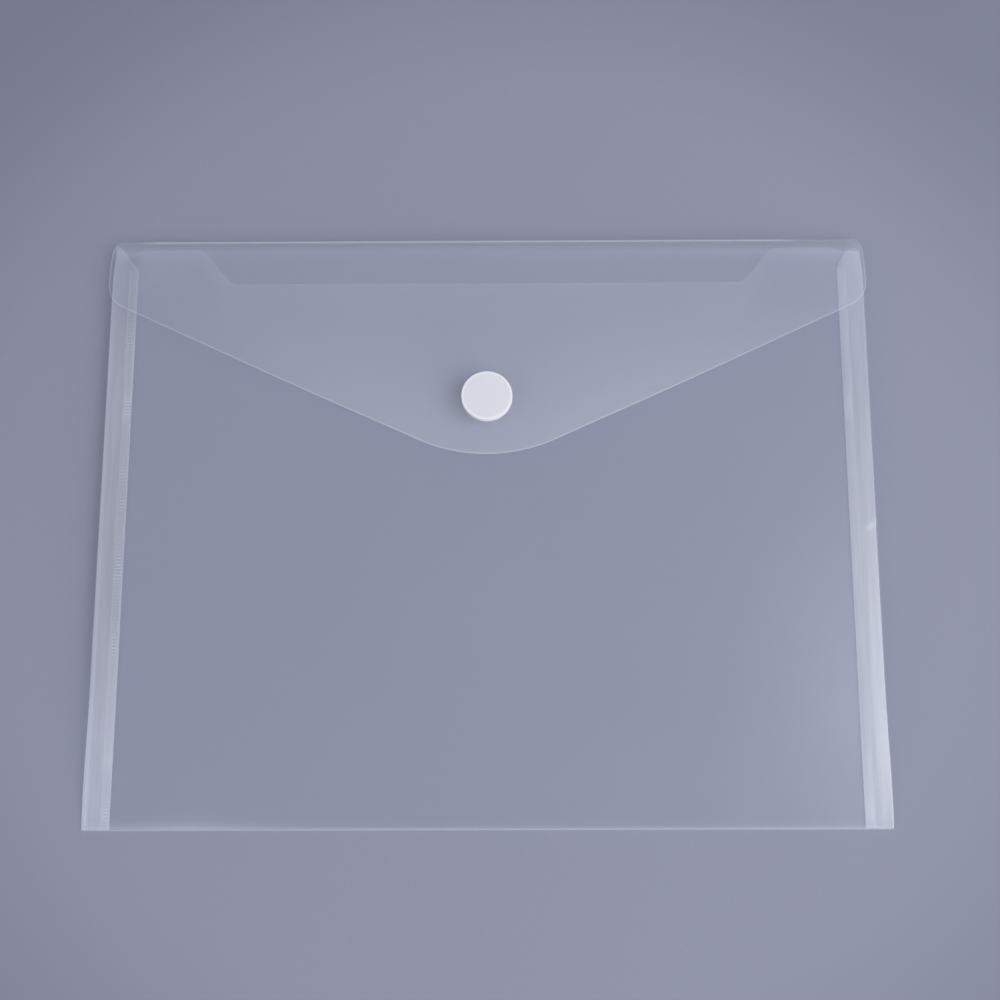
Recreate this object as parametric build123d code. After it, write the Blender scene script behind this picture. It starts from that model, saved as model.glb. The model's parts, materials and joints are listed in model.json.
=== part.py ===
"""Document wallet: one folded film blank with gusset sides and a round hook-and-loop closure."""

from build123d import *

import os
from math import cos, radians, sin, tan

# Lengths are in millimetres and angles in degrees. X runs across the wallet, Y from the
# bottom fold up to the flap's fold, and Z up off the table. The origin lies under the
# middle of the back panel, at table height.

# The film blank.
wallet_width = 330.0
wallet_height = 259.0
film = 0.2

# How the empty pocket stands open.
pocket_lift = 7.0
ramp_angle = 9.0
ramp_bend = 250.0

# Bottom fold: a U-turn of the film. Its outer radius.
bottom_fold_radius = 0.5

# Top crease: the ridge that the flap turns on, and how both leaves leave it.
crease_radius = 0.4
spine_angle = 45.0
spine_bend = 8.0

# Both leaves are trimmed back a little where they meet at the ends of the crease.
corner_taper = 1.2
corner_taper_run = 14.0

# Closing flap: straight sides, then two long slopes to a rounded point.
flap_side = 30.2
flap_slope = 25.2
flap_corner_radius = 12.0
flap_tip_radius = 70.0

# Front panel: its shoulders and the thumb notch between them.
shoulder_drop = 4.8
notch_depth = 16.4
notch_width = 223.6
notch_flare = 14.1
notch_radius = 5.0
side_fold_radius = 0.35

# Side gussets: a leaf from each side fold down to an inner fold, and a margin that is
# welded to the back panel.
gusset_inset = 10.15
gusset_mitre = 7.1
gusset_foot = 3.0
inner_fold_radius = 0.3
weld_margin = 3.7

# Round hook-and-loop closure.
dot_diameter = 22.0
dot_setback = 74.0
tape = 0.4
adhesive = 0.1
hook_height = 0.8
pile_height = 0.9

# Clearances: hooks to pile at rest, a panel to the ridge it turns on, and the hairline
# between neighbours that move together.
hook_gap = 0.05
flex_gap = 0.1
hairline = 0.02

# How far a trimming outline runs past what it trims.
overrun = 20.0

# Places along the bend of the front panel where the gusset leaf takes a new height.
ramp_station_shares = (0.0, 0.25, 0.5, 0.75, 1.0)

half_width = wallet_width / 2
half_film = film / 2
top_edge = wallet_height / 2
bottom_edge = -wallet_height / 2

closure_stack = tape + adhesive + hook_height + hook_gap + pile_height + tape + adhesive
front_level = pocket_lift - half_film
flap_level = pocket_lift + closure_stack + half_film

# The flap's axis lies halfway between the two leaves, so an opened flap lies on the table.
top_axis = Vector(top_edge - crease_radius, (flap_level + half_film) / 2)
bottom_axis = Vector(bottom_edge + bottom_fold_radius, bottom_fold_radius)

shoulder = top_edge - shoulder_drop
notch_floor = shoulder - notch_depth
flap_apex = top_edge - flap_side - half_width * tan(radians(flap_slope))
dot_centre = top_edge - dot_setback

inner_fold_x = half_width - gusset_inset
inner_fold_z = film + inner_fold_radius + hairline
gusset_bottom = bottom_edge + gusset_foot
gusset_top = shoulder - gusset_mitre


def heading(angle):
    """Unit direction in the side view, the angle counted from +Y towards +Z."""
    return Vector(cos(radians(angle)), sin(radians(angle)))


def bent_line(near, corner, far, bend, offset):
    """One face of a bent sheet in the side view, offset to the left of its middle line."""
    first = (corner - near).normalized()
    second = (far - corner).normalized()
    left_first = Vector(-first.Y, first.X)
    left_second = Vector(-second.Y, second.X)
    mitre = (left_first + left_second) * (offset / (1 + first.dot(second)))
    turns_left = first.cross(second).Z > 0
    radius = bend - offset if turns_left else bend + offset
    return FilletPolyline(
        near + left_first * offset, corner + mitre, far + left_second * offset, radius=radius
    )


def bent_sheet(near, corner, far, bend):
    """Sheet of the film's thickness with one smooth bend, run right across the wallet."""
    left = bent_line(near, corner, far, bend, half_film)
    right = bent_line(near, corner, far, bend, -half_film)
    start = Line(left @ 0, right @ 0)
    end = Line(left @ 1, right @ 1)
    edge_view = make_face([left, end, right, start])
    return extrude(Plane.YZ * edge_view, half_width, both=True)


def trimmed(sheet, outline):
    """The part of a sheet that lies inside an outline seen from above."""
    return sheet & extrude(make_face(outline), overrun)


# Back panel. It lies on the table, and its upper end bends up to the crease.
spine_run = (flap_level - top_axis.Y) / tan(radians(spine_angle))
back_corner = Vector(top_axis.X - spine_run, half_film)
back_sheet = bent_sheet(
    top_axis + heading(180 + spine_angle) * (crease_radius + hairline),
    back_corner,
    Vector(bottom_axis.X, half_film),
    spine_bend,
)
back_outline = Polyline(
    (-half_width, bottom_edge),
    (half_width, bottom_edge),
    (half_width, top_edge - corner_taper_run),
    (half_width - corner_taper, top_edge),
    (corner_taper - half_width, top_edge),
    (-half_width, top_edge - corner_taper_run),
    close=True,
)
back_panel = trimmed(back_sheet, back_outline)

# Top crease, a round ridge on the flap's axis.
crease_length = wallet_width - 2 * corner_taper
top_crease = Pos(0, top_axis.X, top_axis.Y) * Cylinder(
    crease_radius, crease_length, rotation=(0, 90, 0)
)

# Bottom fold, a half tube on the front panel's axis.
fold_bottom = bottom_axis - Vector(0, bottom_fold_radius)
fold_top = bottom_axis + Vector(0, bottom_fold_radius)
fold_nose = bottom_axis - Vector(bottom_fold_radius, 0)
inner_bottom = fold_bottom + Vector(0, film)
inner_top = fold_top - Vector(0, film)
inner_nose = fold_nose + Vector(film, 0)
fold_view = make_face(
    [
        ThreePointArc(fold_bottom, fold_nose, fold_top),
        Line(fold_top, inner_top),
        ThreePointArc(inner_top, inner_nose, inner_bottom),
        Line(inner_bottom, fold_bottom),
    ]
)
bottom_fold = extrude(Plane.YZ * fold_view, half_width, both=True)

# Front panel. It rises off the bottom fold, bends level, and ends at the notched mouth.
ramp_foot = fold_top - Vector(0, half_film)
ramp_run = (front_level - ramp_foot.Y) / tan(radians(ramp_angle))
ramp_near = ramp_foot + heading(ramp_angle) * flex_gap
ramp_corner = Vector(ramp_foot.X + ramp_run, front_level)
front_far = Vector(shoulder, front_level)
front_sheet = bent_sheet(ramp_near, ramp_corner, front_far, ramp_bend)
front_side = half_width - side_fold_radius
notch_half = notch_width / 2
mouth_half = notch_half + notch_flare
front_outline = FilletPolyline(
    (-front_side, bottom_edge),
    (front_side, bottom_edge),
    (front_side, shoulder),
    (mouth_half, shoulder),
    (notch_half, notch_floor),
    (-notch_half, notch_floor),
    (-mouth_half, shoulder),
    (-front_side, shoulder),
    radius=(0, 0, 0, notch_radius, notch_radius, notch_radius, notch_radius, 0),
    close=True,
)
front_panel = trimmed(front_sheet, front_outline)

# Closing flap. It leaves the crease upwards, bends level over the front panel, and ends
# in a rounded point.
flap_corner = Vector(top_axis.X - spine_run, flap_level)
flap_far = Vector(flap_apex, flap_level)
flap_sheet = bent_sheet(
    top_axis + heading(180 - spine_angle) * (crease_radius + flex_gap),
    flap_corner,
    flap_far,
    spine_bend,
)
flap_outline = FilletPolyline(
    (half_width - corner_taper, top_edge),
    (corner_taper - half_width, top_edge),
    (-half_width, top_edge - corner_taper_run),
    (-half_width, top_edge - flap_side),
    (0, flap_apex),
    (half_width, top_edge - flap_side),
    (half_width, top_edge - corner_taper_run),
    radius=(0, 0, 0, flap_corner_radius, flap_tip_radius, flap_corner_radius, 0),
    close=True,
)
closing_flap = trimmed(flap_sheet, flap_outline)


def side_fold():
    """Right side fold: a half round bead along the edge of the front panel."""
    path = bent_line(ramp_near, ramp_corner, front_far, ramp_bend, 0)
    bead_path = Plane.YZ.offset(front_side) * path
    start = Plane(bead_path @ 0, x_dir=(1, 0, 0), z_dir=bead_path % 0)
    round_view = Circle(side_fold_radius)
    outer_half = Pos(side_fold_radius, 0) * Rectangle(2 * side_fold_radius, 2 * side_fold_radius)
    return sweep(start * (round_view & outer_half), path=bead_path)


def front_height(y):
    """Height of the front panel's middle surface, taken along the chords of its bend."""
    tangent = ramp_bend * tan(radians(ramp_angle / 2))
    bend_start = ramp_corner.X - tangent * cos(radians(ramp_angle))
    if y <= bend_start:
        return ramp_foot.Y + (y - ramp_foot.X) * tan(radians(ramp_angle))
    if y >= ramp_corner.X + tangent:
        return front_level
    reach = ramp_corner.X + tangent - y
    return front_level - ramp_bend + (ramp_bend**2 - reach**2) ** 0.5


def leaf_section(y, mitre):
    """Edge view of the right gusset leaf at one place along the wallet's side."""
    foot = Vector(inner_fold_x, inner_fold_z)
    reach = front_side - half_film - hairline
    tip = Vector(reach, front_height(y) - film - hairline)
    along = (tip - foot).normalized()
    across = Vector(-along.Y, along.X) * half_film
    near = foot + along * (inner_fold_radius + hairline)
    corners = (near + across, near - across, tip - across, tip + across)
    slant = mitre / (reach - inner_fold_x)
    points = [(p.X, y - slant * (reach - p.X), p.Y) for p in corners]
    return make_face(Polyline(*points, close=True))


def gusset_leaf():
    """Right gusset leaf, from the inner fold up to the side fold, mitred at the mouth."""
    tangent = ramp_bend * tan(radians(ramp_angle / 2))
    bend_start = ramp_corner.X - tangent * cos(radians(ramp_angle))
    bend_end = ramp_corner.X + tangent
    stations = [bend_start + share * (bend_end - bend_start) for share in ramp_station_shares]
    sections = [leaf_section(y, 0) for y in (gusset_bottom, *stations)]
    sections.append(leaf_section(shoulder, gusset_mitre))
    return loft(sections, ruled=True)


def inner_fold():
    """Right inner fold: a round bead that lies on the back panel."""
    length = gusset_top - gusset_bottom
    middle = (gusset_top + gusset_bottom) / 2
    place = Pos(inner_fold_x, middle, inner_fold_z)
    return place * Cylinder(inner_fold_radius, length, rotation=(90, 0, 0))


def margin_strip():
    """Right weld margin: the flat strip, under the leaf, that is welded to the back panel."""
    length = gusset_top - gusset_bottom
    middle = (gusset_top + gusset_bottom) / 2
    start = inner_fold_x + inner_fold_radius + hairline
    strip = Box(weld_margin, length, film)
    return Pos(start + weld_margin / 2, middle, film + half_film) * strip


def dot_layer(bottom, thickness):
    """One round layer of the closure."""
    disc = Cylinder(dot_diameter / 2, thickness)
    return Pos(0, dot_centre, bottom + thickness / 2) * disc


# Closure, from the front panel up to the flap.
loop_adhesive_z = pocket_lift
loop_tape_z = loop_adhesive_z + adhesive
pile_z = loop_tape_z + tape
hooks_z = pile_z + pile_height + hook_gap
hook_tape_z = hooks_z + hook_height
hook_adhesive_z = hook_tape_z + tape

right_side_fold = side_fold()
right_gusset_leaf = gusset_leaf()
right_inner_fold = inner_fold()
right_weld_margin = margin_strip()

nodes = {
    "back_panel": back_panel,
    "top_crease": top_crease,
    "bottom_fold": bottom_fold,
    "front_panel": front_panel,
    "closing_flap": closing_flap,
    "right_side_fold": right_side_fold,
    "left_side_fold": mirror(right_side_fold, about=Plane.YZ),
    "right_gusset_leaf": right_gusset_leaf,
    "left_gusset_leaf": mirror(right_gusset_leaf, about=Plane.YZ),
    "right_inner_fold": right_inner_fold,
    "left_inner_fold": mirror(right_inner_fold, about=Plane.YZ),
    "right_weld_margin": right_weld_margin,
    "left_weld_margin": mirror(right_weld_margin, about=Plane.YZ),
    "loop_adhesive": dot_layer(loop_adhesive_z, adhesive),
    "loop_tape": dot_layer(loop_tape_z, tape),
    "loop_pile": dot_layer(pile_z, pile_height),
    "hook_field": dot_layer(hooks_z, hook_height),
    "hook_tape": dot_layer(hook_tape_z, tape),
    "hook_adhesive": dot_layer(hook_adhesive_z, adhesive),
}

os.makedirs("parts", exist_ok=True)
for name, shape in nodes.items():
    export_step(shape, f"parts/{name}.step")
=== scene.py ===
"""Dresses the document wallet: satin film, folds, weld ladders and the hook-and-loop closure.

Lengths are in metres. X runs across the wallet, Y from the bottom fold up to the flap's
crease, and Z up off the table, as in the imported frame.
"""

import json
import logging
from collections.abc import Callable
from dataclasses import dataclass, replace
from enum import Enum
from functools import cache
from math import atan, cos, hypot, pi, radians, sin, tan

import bpy
import numpy as np
from bpy.types import Material, Mesh, Node, NodeSocket, NodeTree, Object
from mathutils import Matrix, Vector


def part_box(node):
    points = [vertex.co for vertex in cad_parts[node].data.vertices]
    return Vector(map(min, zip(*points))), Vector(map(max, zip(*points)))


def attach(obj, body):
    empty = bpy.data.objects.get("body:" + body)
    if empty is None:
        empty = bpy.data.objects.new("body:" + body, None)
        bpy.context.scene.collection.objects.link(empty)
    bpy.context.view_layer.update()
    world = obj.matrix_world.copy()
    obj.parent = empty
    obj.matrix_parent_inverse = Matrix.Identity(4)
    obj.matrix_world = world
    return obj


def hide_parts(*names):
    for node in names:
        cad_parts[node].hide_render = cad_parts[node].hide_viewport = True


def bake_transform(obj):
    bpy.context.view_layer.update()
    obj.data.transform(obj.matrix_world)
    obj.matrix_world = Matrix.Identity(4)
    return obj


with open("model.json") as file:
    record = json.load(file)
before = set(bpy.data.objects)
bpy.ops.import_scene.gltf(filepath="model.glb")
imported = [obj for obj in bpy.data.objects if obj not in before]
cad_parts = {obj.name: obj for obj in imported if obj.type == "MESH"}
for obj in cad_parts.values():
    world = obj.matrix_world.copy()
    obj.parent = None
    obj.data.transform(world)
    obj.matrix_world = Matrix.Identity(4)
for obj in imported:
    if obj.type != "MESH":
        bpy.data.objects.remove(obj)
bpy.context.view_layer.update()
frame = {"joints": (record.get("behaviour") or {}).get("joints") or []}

LOG = logging.getLogger("wallet")
MM = 0.001
LEAST_AREA = 1e-18

NOISE_MIDDLE = 0.5

# The display's transfer curve: a short straight foot, then a power.
CURVE_FOOT, CURVE_SLOPE, CURVE_OFFSET, CURVE_POWER = 0.04045, 12.92, 0.055, 2.4

# Sockets of the Mix node when it mixes colours, and of the Random Value node when it gives numbers.
MIX_SHARE, MIX_FIRST, MIX_SECOND, MIX_RESULT = 0, 6, 7, 2
RANDOM_LEAST, RANDOM_MOST, RANDOM_RESULT = 2, 3, 1

Triple = tuple[float, float, float]
Faces = list[tuple[int, ...]]


class Body(Enum):
    """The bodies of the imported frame."""

    BACK = "back"
    FRONT = "front"
    FLAP = "flap"


class Slot(Enum):
    """The record's material slots."""

    FILM = "film"
    ADHESIVE = "adhesive"
    TAPE = "tape"
    PILE = "pile"
    HOOKS = "hooks"


class Spread(Enum):
    """How a small shape is spread over a round field."""

    ROWS = "rows"
    SCATTER = "scatter"


class Side(Enum):
    """The wallet's two sides, by the sign of X."""

    LEFT = -1
    RIGHT = 1

    @property
    def label(self) -> str:
        """The side's name as the CAD nodes have it."""
        return self.name.lower()


def smooth(share: np.ndarray) -> np.ndarray:
    """An even ramp from 0 to 1 with soft ends."""
    held = np.clip(share, 0.0, 1.0)
    return held * held * (3.0 - 2.0 * held)


def bell(distance: np.ndarray, width: float | np.ndarray) -> np.ndarray:
    """1 at no distance, about a third at the width, and 0 far away."""
    return np.exp(-((distance / width) ** 2))


def paint(red: float, green: float, blue: float) -> tuple[float, float, float, float]:
    """Turns a display colour into the renderer's linear colour.

    Args:
        red: Red, from 0 to 255.
        green: Green, from 0 to 255.
        blue: Blue, from 0 to 255.

    Returns:
        Linear red, green, blue and a full alpha.
    """
    linear = []
    for value in (red, green, blue):
        share = value / 255.0
        curved = ((share + CURVE_OFFSET) / (1 + CURVE_OFFSET)) ** CURVE_POWER
        linear.append(share / CURVE_SLOPE if share <= CURVE_FOOT else curved)
    return (*linear, 1.0)


def graded(length: float, first: float, last: float, most: float, growth: float = 1.3) -> np.ndarray:
    """Places along a line whose steps are short at both ends.

    Args:
        length: Length of the line.
        first: First step at the start.
        last: Last step at the end.
        most: Longest step, in the middle.
        growth: How much longer each step is than its outer neighbour.

    Returns:
        Shares of the length, from 0 to 1.
    """

    def steps(step: float) -> list[float]:
        """Growing steps up to half the length.

        Args:
            step: The first step.

        Returns:
            The steps, drawn to fill the half.
        """
        made: list[float] = []
        while sum(made) < length / 2:
            made.append(step)
            step = min(step * growth, most)
        return [s * length / 2 / sum(made) for s in made]

    places = np.concatenate([[0.0], np.cumsum(steps(first) + steps(last)[::-1])])
    return places / places[-1]


def bent_height(
    y: np.ndarray, corner: float, level: float, angle: float, bend: float, towards: int, rise: int
) -> np.ndarray:
    """Height of a sheet that runs level, rounds one bend and goes on at a slope.

    Args:
        y: Places along the wallet.
        corner: Where the level run and the slope would meet.
        level: Height of the level run.
        angle: Slope, in radians.
        bend: Radius of the bend.
        towards: 1 if the slope lies at larger y, or -1.
        rise: 1 if the slope goes up, or -1.

    Returns:
        The height at each place.
    """
    run = towards * (y - corner)
    past = run + bend * tan(angle / 2)
    arc = bend - np.sqrt(bend**2 - np.clip(past, 0.0, bend * sin(angle)) ** 2)
    return level + rise * np.where(past < bend * sin(angle), arc, run * tan(angle))


def fillet(before: Vector, corner: Vector, after: Vector, radius: float, count: int = 12) -> np.ndarray:
    """Points round one filleted corner of an outline.

    Args:
        before: A point on the side that leads to the corner.
        corner: The sharp corner.
        after: A point on the side that leaves the corner.
        radius: Radius of the fillet.
        count: Number of points.

    Returns:
        The points, one row each.
    """
    first = (before - corner).normalized()
    second = (after - corner).normalized()
    half = first.angle(second) / 2
    middle = corner + (first + second).normalized() * radius / sin(half)
    start = corner + first * radius / tan(half) - middle
    end = corner + second * radius / tan(half) - middle
    turn = start.angle(end)
    shares = np.linspace(0.0, 1.0, count)
    points = [
        middle + (start * sin((1 - share) * turn) + end * sin(share * turn)) / sin(turn) for share in shares
    ]
    return np.array(points)


def near_line(points: np.ndarray, line: np.ndarray, width: float) -> np.ndarray:
    """How close points lie to a line seen from above.

    Args:
        points: Points, with x and y first on the last axis.
        line: Points along the line, close together, one row each.
        width: Distance at which the value has fallen to about a third.

    Returns:
        1 on the line, falling to 0 away from it.
    """
    flat = points[..., :2].reshape(-1, 2)
    gap = np.full(len(flat), np.inf)
    for start, end in zip(line[:-1], line[1:]):
        along = end - start
        share = np.clip((flat - start) @ along / max(along @ along, LEAST_AREA), 0.0, 1.0)
        gap = np.minimum(gap, np.linalg.norm(flat - start - share[:, None] * along, axis=1))
    return bell(gap, width).reshape(points.shape[:-1])


class NodeWeb:
    """Places and joins the nodes of one tree."""

    def __init__(self, tree: NodeTree) -> None:
        """Starts on a tree, which it fills."""
        self.tree = tree

    def add(self, kind: str, inputs: dict | None = None, **settings: object) -> Node:
        """Places one node.

        Args:
            kind: The node's type name.
            inputs: Value or feeding socket for each input, by name or number.
            **settings: The node's own properties.

        Returns:
            The new node.
        """
        node = self.tree.nodes.new(kind)
        for name, value in settings.items():
            setattr(node, name, value)
        for key, value in (inputs or {}).items():
            self.feed(node.inputs[key], value)
        return node

    def feed(self, socket: NodeSocket, value: object) -> None:
        """Joins a socket to another, or sets its value.

        Args:
            socket: The socket to feed.
            value: A feeding socket, or a plain value.
        """
        if isinstance(value, NodeSocket):
            self.tree.links.new(value, socket)
        else:
            socket.default_value = value

    def math(self, operation: str, *values: object, clamp: bool = False) -> NodeSocket:
        """Places a Math node on numbers or sockets, and gives the result's socket."""
        node = self.add("ShaderNodeMath", dict(enumerate(values)), operation=operation, use_clamp=clamp)
        return node.outputs[0]

    def attribute(self, name: str) -> NodeSocket:
        """Reads one of the mesh's own values."""
        return self.add("ShaderNodeAttribute", attribute_name=name).outputs["Fac"]

    def noise(self, scale: float, detail: float, stretch: Triple = (1.0, 1.0, 1.0)) -> NodeSocket:
        """Places a noise pattern on Object coordinates.

        Args:
            scale: Cycles in a metre.
            detail: Octaves.
            stretch: How much finer the pattern is along each axis.

        Returns:
            The noise value's socket.
        """
        coordinates = self.add("ShaderNodeTexCoord").outputs["Object"]
        turned = self.add("ShaderNodeMapping", {"Vector": coordinates, "Scale": stretch})
        inputs = {"Vector": turned.outputs[0], "Scale": scale, "Detail": detail}
        return self.add("ShaderNodeTexNoise", inputs).outputs[0]

    def ramp(self, share: NodeSocket, first: Triple, last: Triple) -> NodeSocket:
        """Places a ramp between two display colours.

        Args:
            share: Socket of the place on the ramp, from 0 to 1.
            first: Colour at 0.
            last: Colour at 1.

        Returns:
            The colour's socket.
        """
        node = self.add("ShaderNodeValToRGB", {"Fac": share})
        for stop, colour in zip(node.color_ramp.elements, (first, last)):
            stop.color = paint(*colour)
        return node.outputs["Color"]

    def mix(self, share: NodeSocket, first: NodeSocket, second: Triple) -> NodeSocket:
        """Mixes a share of a display colour into another colour, and gives the result's socket."""
        inputs = {MIX_SHARE: share, MIX_FIRST: first, MIX_SECOND: paint(*second)}
        return self.add("ShaderNodeMix", inputs, data_type="RGBA").outputs[MIX_RESULT]


def new_group(name: str, inputs: list[str], outputs: list[str]) -> tuple[NodeWeb, Node, Node]:
    """Makes an empty shader node group of plain numbers.

    Args:
        name: The group's name.
        inputs: The inputs.
        outputs: The outputs.

    Returns:
        The group's web, its input node and its output node.
    """
    tree = bpy.data.node_groups.new(name, "ShaderNodeTree")
    for way, labels in (("INPUT", inputs), ("OUTPUT", outputs)):
        for label in labels:
            tree.interface.new_socket(name=label, in_out=way, socket_type="NodeSocketFloat")
    web = NodeWeb(tree)
    return web, web.add("NodeGroupInput"), web.add("NodeGroupOutput")


@dataclass(frozen=True)
class FilmTexture:
    """How uneven the satin film is: soft clouds of haze and fine drawn streaks."""

    name: str = "satin_film"
    octaves: float = 1.0
    cloud_scale: float = 11.0
    cloud_floor: float = 0.88
    cloud_swing: float = 0.24
    gloss_swing: float = 0.12
    streak_scale: float = 450.0
    streak_stretch: Triple = (1.0, 0.05, 1.0)
    whitening: float = 2.0

    @cache
    def group(self) -> NodeTree:
        """The film's haze, bright edges, gloss and fine relief, shared by every film piece.

        Returns:
            The node group, made once.
        """
        inputs = ["Haze", "Cut Glow", "Fold Glow", "Gloss", "Streaks"]
        web, given, made = new_group(self.name, inputs, ["Alpha", "Roughness", "Height", "Whitening"])
        cloud = web.noise(self.cloud_scale, self.octaves)
        streak = web.noise(self.streak_scale, self.octaves, self.streak_stretch)
        clouded = web.math("MULTIPLY_ADD", cloud, self.cloud_swing, self.cloud_floor)
        swing = web.math("MULTIPLY", web.math("SUBTRACT", streak, NOISE_MIDDLE), given.outputs["Streaks"])
        uneven = web.math("MULTIPLY", clouded, web.math("ADD", swing, 1.0))
        pressed = web.math("ADD", web.attribute("press"), 1.0)
        body = web.math("MULTIPLY", web.math("MULTIPLY", given.outputs["Haze"], pressed), uneven)
        # Painted highlight: cut edges and folds get extra haze, whitened towards white, in place of light
        # gathered along them. At folds it is partly the film's own whitening.
        cut = web.math("MULTIPLY", web.attribute("cut"), given.outputs["Cut Glow"])
        bright = web.math("MULTIPLY_ADD", web.attribute("fold"), given.outputs["Fold Glow"], cut)
        web.feed(made.inputs["Alpha"], web.math("ADD", body, bright, clamp=True))
        web.feed(made.inputs["Whitening"], web.math("MULTIPLY", bright, self.whitening, clamp=True))
        uneven_gloss = web.math("SUBTRACT", cloud, NOISE_MIDDLE)
        rough = web.math("MULTIPLY_ADD", uneven_gloss, self.gloss_swing, given.outputs["Gloss"])
        web.feed(made.inputs["Roughness"], rough)
        web.feed(made.inputs["Height"], streak)
        return web.tree


@dataclass(frozen=True)
class Weave:
    """Crossing yarns of a fine woven tape, with a little fuzz."""

    name: str = "tape_weave"
    cross_height: float = 0.5
    fuzz_scale: float = 2600.0
    fuzz_octaves: float = 3.0
    shade_swing: float = 0.3
    shade_floor: float = 0.4

    @cache
    def group(self) -> NodeTree:
        """The weave's height and shade, shared by every cloth.

        Returns:
            The node group, made once.
        """
        web, given, made = new_group(self.name, ["Yarn"], ["Height", "Shade"])
        coordinates = web.add("ShaderNodeTexCoord").outputs["Object"]
        parts = web.add("ShaderNodeSeparateXYZ", {0: coordinates})
        turn = web.math("DIVIDE", 2 * pi, given.outputs["Yarn"])
        across = web.math("SINE", web.math("MULTIPLY", parts.outputs["X"], turn))
        along = web.math("SINE", web.math("MULTIPLY", parts.outputs["Y"], turn))
        cross = web.math("MULTIPLY", across, along)
        fuzz = web.noise(self.fuzz_scale, self.fuzz_octaves)
        height = web.math("MULTIPLY_ADD", cross, self.cross_height, fuzz)
        shade = web.math("MULTIPLY_ADD", height, self.shade_swing, self.shade_floor, clamp=True)
        web.feed(made.inputs["Height"], height)
        web.feed(made.inputs["Shade"], shade)
        return web.tree


def new_material(name: str) -> tuple[Material, NodeWeb, Node]:
    """Makes a material with nothing but its output node.

    Args:
        name: The material's name.

    Returns:
        The material, its web and its output node.
    """
    material = bpy.data.materials.new(name)
    material.use_nodes = True
    material.node_tree.nodes.clear()
    web = NodeWeb(material.node_tree)
    return material, web, web.add("ShaderNodeOutputMaterial")


@dataclass(frozen=True)
class FilmFinish:
    """Clear satin film: a thin haze over a see-through sheet, with a soft gloss."""

    name: str
    haze: float
    # cut_glow and fold_glow add whitened haze along cut edges and folds. These are painted highlights, and
    # at folds partly the film's own whitening.
    cut_glow: float = 0.0
    fold_glow: float = 0.0
    gloss: float = 0.3
    tint: Triple = (222, 229, 248)
    white: Triple = (238, 242, 252)
    clear: Triple = (0.982, 0.985, 1.0)
    specular: float = 0.3
    mirror: float = 0.05
    glance: float = 0.2
    glance_power: float = 5.0
    facing_blend: float = 0.5
    forward: float = 0.4
    streaks: float = 0.0
    relief: float = 0.01 * MM

    @cache
    def material(self) -> Material:
        """The finish as a material, made once.

        Returns:
            The material.
        """
        material, web, output = new_material(self.name)
        values = {
            "Haze": self.haze,
            "Cut Glow": self.cut_glow,
            "Fold Glow": self.fold_glow,
            "Gloss": self.gloss,
            "Streaks": self.streaks,
        }
        film = web.add("ShaderNodeGroup", values, node_tree=FilmTexture().group())
        bump = web.add("ShaderNodeBump", {"Height": film.outputs["Height"], "Distance": self.relief})
        satin = {"Roughness": film.outputs["Roughness"], "Normal": bump.outputs[0]}
        shadow = web.add("ShaderNodeLightPath").outputs["Is Shadow Ray"]
        stopped = web.math("MULTIPLY_ADD", shadow, -self.forward, 1.0)
        turned = web.math("MULTIPLY", shadow, web.attribute("turn"))
        # The base colour runs from tint to white with the whitening and painted highlight of edges and
        # folds.
        body = web.add(
            "ShaderNodeBsdfPrincipled",
            {
                **satin,
                "Base Color": web.ramp(film.outputs["Whitening"], self.tint, self.white),
                "Alpha": web.math("MULTIPLY_ADD", film.outputs["Alpha"], stopped, turned, clamp=True),
                "Specular IOR Level": self.specular,
            },
        )
        clear = web.add("ShaderNodeBsdfTransparent", {"Color": (*self.clear, 1.0)})
        shine = web.add("ShaderNodeBsdfGlossy", satin)
        facing = web.add("ShaderNodeLayerWeight", {"Blend": self.facing_blend}).outputs["Facing"]
        glance = web.math("POWER", facing, self.glance_power)
        glint = web.math("MULTIPLY_ADD", glance, self.glance, self.mirror)
        mirror = web.math("MULTIPLY", glint, web.math("SUBTRACT", 1.0, shadow))
        near = web.add("ShaderNodeMixShader", {0: mirror, 1: body.outputs[0], 2: shine.outputs[0]})
        behind = web.add("ShaderNodeNewGeometry").outputs["Backfacing"]
        sheet = web.add("ShaderNodeMixShader", {0: behind, 1: near.outputs[0], 2: clear.outputs[0]})
        web.feed(output.inputs["Surface"], sheet.outputs[0])
        return material


@dataclass(frozen=True)
class ClothFinish:
    """White closure cloth: woven tape, brushed pile or moulded hooks."""

    name: str
    light: Triple
    shade: Triple
    roughness: float
    yarn: float
    relief: float
    sheen: float = 0.0
    # rim colours the outer edge of each coin with a painted highlight round the closure.
    rim: Triple = (255, 255, 255)

    @cache
    def material(self) -> Material:
        """The finish as a material, made once.

        Returns:
            The material.
        """
        material, web, output = new_material(self.name)
        weave = web.add("ShaderNodeGroup", {"Yarn": self.yarn}, node_tree=Weave().group())
        plain = web.ramp(weave.outputs["Shade"], self.shade, self.light)
        bump = web.add("ShaderNodeBump", {"Height": weave.outputs["Height"], "Distance": self.relief})
        cloth = web.add(
            "ShaderNodeBsdfPrincipled",
            {
                "Base Color": web.mix(web.attribute("rim"), plain, self.rim),
                "Roughness": self.roughness,
                "Normal": bump.outputs[0],
                "Sheen Weight": self.sheen,
            },
        )
        web.feed(output.inputs["Surface"], cloth.outputs[0])
        return material


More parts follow.
